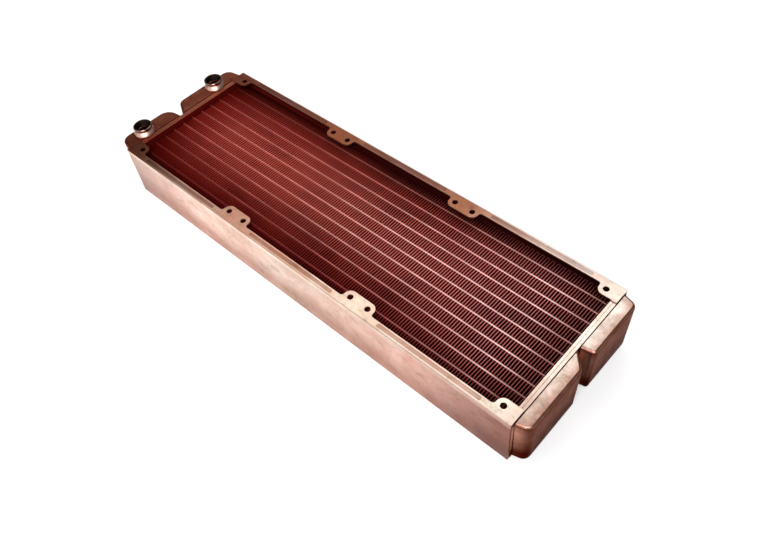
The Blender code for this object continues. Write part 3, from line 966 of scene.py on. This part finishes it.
def tank_cover(name, tank, holes, material, inside_material):
    """Two hollow lobes on one open neck, with holes for the ports in the tops."""
    low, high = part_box(tank.node)
    depth = (CENTRE_X - JOINT - low.x) if tank.turn else (high.x - CENTRE_X - JOINT)
    neck_end = JOINT + JOINT_OVERLAP
    piece = new_object(name, prism(neck_outline(0), neck_end - NECK_DEPTH, neck_end, axis="X"))
    combine(piece, "UNION", [lobe_solid(tank, depth, side) for side in (False, True)])
    hollows = [prism(neck_outline(TANK_WALL), JOINT - 2 * NECK_DEPTH, JOINT - TANK_WALL, axis="X")]
    floor_z, mouth_z = TANK_TOP_STEP + TANK_WALL, NECK_LOW + TANK_WALL
    for side in (False, True):
        chamber = lobe_outline(tank, depth, side, JOINT + TANK_WALL, TANK_WALL + TANK_DRAFT)
        mouth = lobe_outline(tank, depth, side, JOINT - 2 * TANK_WALL, 2.5 * TANK_WALL)
        hollows.append(prism(chamber, floor_z, THICKNESS - floor_z))
        hollows.append(prism(mouth, mouth_z, THICKNESS - mouth_z))
    for x, y in holes:
        hollows.append(prism(circle(x, y, TANK_PORT_HOLE_RADIUS, 48), THICKNESS / 2, THICKNESS))
    combine(piece, "DIFFERENCE", hollows)
    piece.data.transform(Matrix.Translation((CENTRE_X, 0, 0)) @ Matrix.Rotation(tank.turn, 4, "Z"))
    finished(piece, material, "tank_copper", tank.node, sharp=42)
    # The neck takes the painted shade of the inside sheet.
    paint(piece, inside_material, lambda at: abs(at.x - CENTRE_X) < JOINT + 2 * JOINT_OVERLAP)


def corner_solder(name, end, side, material):
    """The run of solder that closes the corner between a side frame's end and a tank's wall."""
    wall, tank_wall = HALF_WIDTH - SHEET - SOLDER_GAP, HALF_WIDTH - NECK_LOW + SOLDER_GAP
    start, reach = HALF_LENGTH + SOLDER_GAP, JOINT - SOLDER_GAP
    section = [
        (start, tank_wall), (reach, tank_wall), (reach, 0.3 * wall + 0.7 * tank_wall),
        (0.5 * (start + reach), 0.6 * wall + 0.4 * tank_wall), (start, wall),
    ]
    outline = [(CENTRE_X + end * x, side * y) for x, y in section]
    piece = new_object(name, prism(outline, 0.05 * THICKNESS, 0.95 * THICKNESS))
    finished(piece, material, "tank_copper")


# Ports.


def boss_middle(node):
    """The middle of a port boss's box."""
    low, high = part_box(node)
    return (low + high) / 2


def port_collar(name, node, material):
    """The bowl of brazed copper under the ring; the braze has run out to the side of the core."""
    low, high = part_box(node)
    centre = boss_middle(node)
    widest = (high.x - low.x) / 2
    bore = PORT_BORE_RADIUS + THREAD_DEPTH + COLLAR_GAP
    profile = [(bore, 0.0, 0.0)]
    for step in range(BOWL_STEPS + 1):
        share = step / BOWL_STEPS
        bulge = math.sin(math.pi * (BOWL_START + (1 - BOWL_START) * share))
        pool = BRAZE_POOL * (1 - share) ** 2
        profile.append((WAIST_RADIUS + (widest - WAIST_RADIUS) * bulge + pool, share, pool))
    profile.append((bore, 1.0, 0.0))
    rings = []
    for radius, share, pool in profile:
        outline = circle(centre.x + POOL_X * pool, centre.y + POOL_Y * pool, radius)
        rings.append([(x, y, low.z + BOWL_HEIGHT * share) for x, y in outline])
    piece = new_object(name, closed_tube(rings))
    finished(piece, material, "tank_copper", node, sharp=50)


def ring_sections(low_z, high_z):
    """The ring's section as (radius, z, threaded) points: out and over the rim, then down the bore."""
    base, widest_z = low_z + BOWL_HEIGHT, high_z - RING_ROLL
    sections = []
    for step in range(RING_STEPS + 1):
        rise = math.sin(math.pi / 2 * step / RING_STEPS)
        z = base + (widest_z - base) * step / RING_STEPS
        sections.append((WAIST_RADIUS + (RING_RADIUS - WAIST_RADIUS) * rise, z, False))
    for step in range(1, RING_STEPS + 1):
        angle = math.pi / 2 * step / RING_STEPS
        radius = RING_RADIUS - RING_ROLL_WIDTH * (1 - math.cos(angle))
        sections.append((radius, widest_z + RING_ROLL * math.sin(angle), False))
    sections.append((PORT_BORE_RADIUS + THREAD_DEPTH, high_z - RING_LIP, False))
    thread_length = high_z - low_z - THREAD_START - THREAD_END
    for step in range(THREAD_LEVELS + 1):
        z = high_z - THREAD_START - thread_length * step / THREAD_LEVELS
        sections.append((PORT_BORE_RADIUS, z, True))
    relief = PORT_BORE_RADIUS + THREAD_DEPTH + BORE_RELIEF
    return sections + [(relief, low_z + RING_LIP, False), (relief, base, False)]


def thread_cut(phase):
    """How deep the thread is at this share of its pitch: a V with a flat crest and a flat root."""
    flank = THREAD_STEEPNESS * (1 - abs(2 * phase - 1)) - THREAD_CREST
    return THREAD_DEPTH * min(1.0, max(0.0, flank))


def port_ring(name, node, material, bore_material):
    """The plated ring: a rolled outer rim, and a pipe thread cut as a true helix in the bore."""
    low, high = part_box(node)
    centre = boss_middle(node)
    rings = []
    for radius, z, threaded in ring_sections(low.z, high.z):
        ring = []
        for side in range(ROUND_SIDES):
            angle = math.tau * side / ROUND_SIDES
            phase = (z / THREAD_PITCH - side / ROUND_SIDES) % 1.0
            reach = radius + thread_cut(phase) if threaded else radius
            ring.append((centre.x + reach * math.cos(angle), centre.y + reach * math.sin(angle), z))
        rings.append(ring)
    piece = new_object(name, closed_tube(rings))
    finished(piece, material, "port_plating", node, sharp=60)
    # The bore takes the near-black painted shade.
    reach = PORT_BORE_RADIUS + THREAD_DEPTH
    paint(piece, bore_material, lambda at: math.hypot(at.x - centre.x, at.y - centre.y) < reach)


# Headers, and the hidden pieces that stay as the frame has them.


def refined_header(name, node, material, inside_material):
    """The header tray with a seam along its rim, and with its edges rounded over."""
    mesh = bmesh.new()
    mesh.from_mesh(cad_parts[node].data)
    bmesh.ops.remove_doubles(mesh, verts=mesh.verts, dist=1e-6)
    bmesh.ops.dissolve_limit(mesh, angle_limit=math.radians(1), verts=mesh.verts, edges=mesh.edges)
    piece = new_object(name, mesh)
    hem_x = CENTRE_X + math.copysign(HEM_X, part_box(node)[0].x)
    corners = ((-1, -1), (1, -1), (1, 1), (-1, 1))
    outline = [(hem_x + u * HEM_HALF_WIDTH, v * HALF_WIDTH) for u, v in corners]
    seams = [
        prism(outline, low, high)
        for low, high in ((-SHEET, HEM_LOW), (THICKNESS - HEM_LOW, THICKNESS))
    ]
    combine(piece, "DIFFERENCE", seams)
    soften(piece, HEADER_EDGE_RADIUS)
    finished(piece, material, "header_copper", node, sharp=40)
    # The side that faces the core takes the painted shade of the inside sheet.
    core_side = HALF_LENGTH - HEADER_RIM_WIDTH
    paint(piece, inside_material, lambda at: abs(at.x - CENTRE_X) < core_side)


def keep_node(node, material):
    """A hidden piece keeps its shape, and only takes a material."""
    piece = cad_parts[node]
    piece.data.materials.clear()
    piece.data.materials.append(material)


# Stage.


def area_light(name, place, target, size, power):
    """A soft light at a place, turned to the target, with its two sides and its watts."""
    data = bpy.data.lights.new(name, "AREA")
    data.shape = "RECTANGLE"
    data.size, data.size_y = size
    data.energy = power
    light = bpy.data.objects.new(name, data)
    light.location = place
    light.rotation_euler = (Vector(target) - Vector(place)).to_track_quat("-Z", "Y").to_euler()
    bpy.context.scene.collection.objects.link(light)


def floor():
    """A plain pale floor just under the radiator."""
    mesh = bmesh.new()
    bmesh.ops.create_grid(mesh, x_segments=1, y_segments=1, size=FLOOR_SIZE)
    made = new_object("floor", mesh)
    nodes = Nodes("floor_white", metallic=0.0)
    tone = nodes.steps(nodes.noise(2.0), (0.0, 0.96), (1.0, 0.98))
    roughness = nodes.remapped(nodes.noise(3.0), 0.0, 1.0, 0.75, 0.85)
    made.data.materials.append(nodes.finish(tone, roughness))
    made.location.z = cad_box[0].z - FLOOR_GAP


def camera():
    """Looks down from beyond the near corner of the return end, towards the ports."""
    data = bpy.data.cameras.new("camera")
    data.sensor_width = 36.0
    data.lens = CAMERA_LENS
    made = bpy.data.objects.new("camera", data)
    place = Vector(CAMERA_PLACE)
    look = (Vector(CAMERA_TARGET) - place).to_track_quat("-Z", "Y").to_matrix().to_4x4()
    made.matrix_world = Matrix.Translation(place) @ look @ Matrix.Rotation(CAMERA_ROLL, 4, "Z")
    bpy.context.scene.collection.objects.link(made)
    bpy.context.scene.camera = made


def studio():
    """A dim white surround, and four soft lights."""
    world = bpy.data.worlds.new("studio")
    world.use_nodes = True
    background = world.node_tree.nodes["Background"]
    background.inputs["Color"].default_value = (1.0, 1.0, 1.0, 1.0)
    background.inputs["Strength"].default_value = 0.12
    bpy.context.scene.world = world
    bpy.context.scene.view_settings.view_transform = "Standard"
    area_light("softbox", (-0.28, 0.50, 1.04), (0.02, 0.0, 0.0), (1.1, 0.7), 4.0)
    area_light("key", (1.3, -1.6, 3.0), (0.0, 0.0, 0.0), (1.8, 1.8), 135.0)
    area_light("front_panel", (-0.3, -1.7, 0.55), (0.0, 0.0, 0.1), (2.4, 0.9), 7.0)
    area_light("edge_strip", (-0.62, -0.80, 1.0), (0.0, 0.0, 0.0), (1.4, 0.90), 2.0)


def main():
    inside, headers, tanks = inside_shade_copper(), header_copper(), tank_copper()
    # The far frame's copy carries more painted shade; each last value is the painted shade in the
    # grooves.
    near_copper = frame_copper("near_frame_copper", NEAR_FRAME_TONES, (0.60, 0.46, 0.44))
    far_copper = frame_copper("far_frame_copper", FAR_FRAME_TONES, (0.62, 0.66, 0.76))
    side_frame("near_side_frame", "side_frame_near", 0.0, near_copper, inside)
    side_frame("far_side_frame", "side_frame_far", math.pi, far_copper, inside)
    refined_header("return_header", "header_plate_return_end", headers, inside)
    refined_header("port_header", "header_plate_port_end", headers, inside)

    fins, tubes = fin_copper(), tube_copper()
    for number in range(1, TUBES + 2):
        fin_strip(number, fins)
    for number in range(1, TUBES + 1):
        flat_tube(number, tubes)

    bosses = ("inlet_port_boss", "outlet_port_boss")
    holes = [(CENTRE_X - boss_middle(node).x, -boss_middle(node).y) for node in bosses]
    tank_cover("return_tank", RETURN_TANK, [], tanks, inside)
    tank_cover("port_tank", PORT_TANK, holes, tanks, inside)
    for end_name, end in (("port", -1), ("return", 1)):
        for side_name, side in (("near", -1), ("far", 1)):
            corner_solder(f"{end_name}_{side_name}_solder", end, side, tanks)

    collars, plating, bore = collar_copper(), port_plating(), port_bore_shade()
    for label, node in zip(("inlet", "outlet"), bosses):
        port_collar(f"{label}_collar", node, collars)
        port_ring(f"{label}_ring", node, plating, bore)
    # Hidden pieces take the painted shade of the inside sheet.
    for node in ("port_tank_divider", "core_side_plate_near", "core_side_plate_far"):
        keep_node(node, inside)

    floor()
    camera()
    studio()


main()
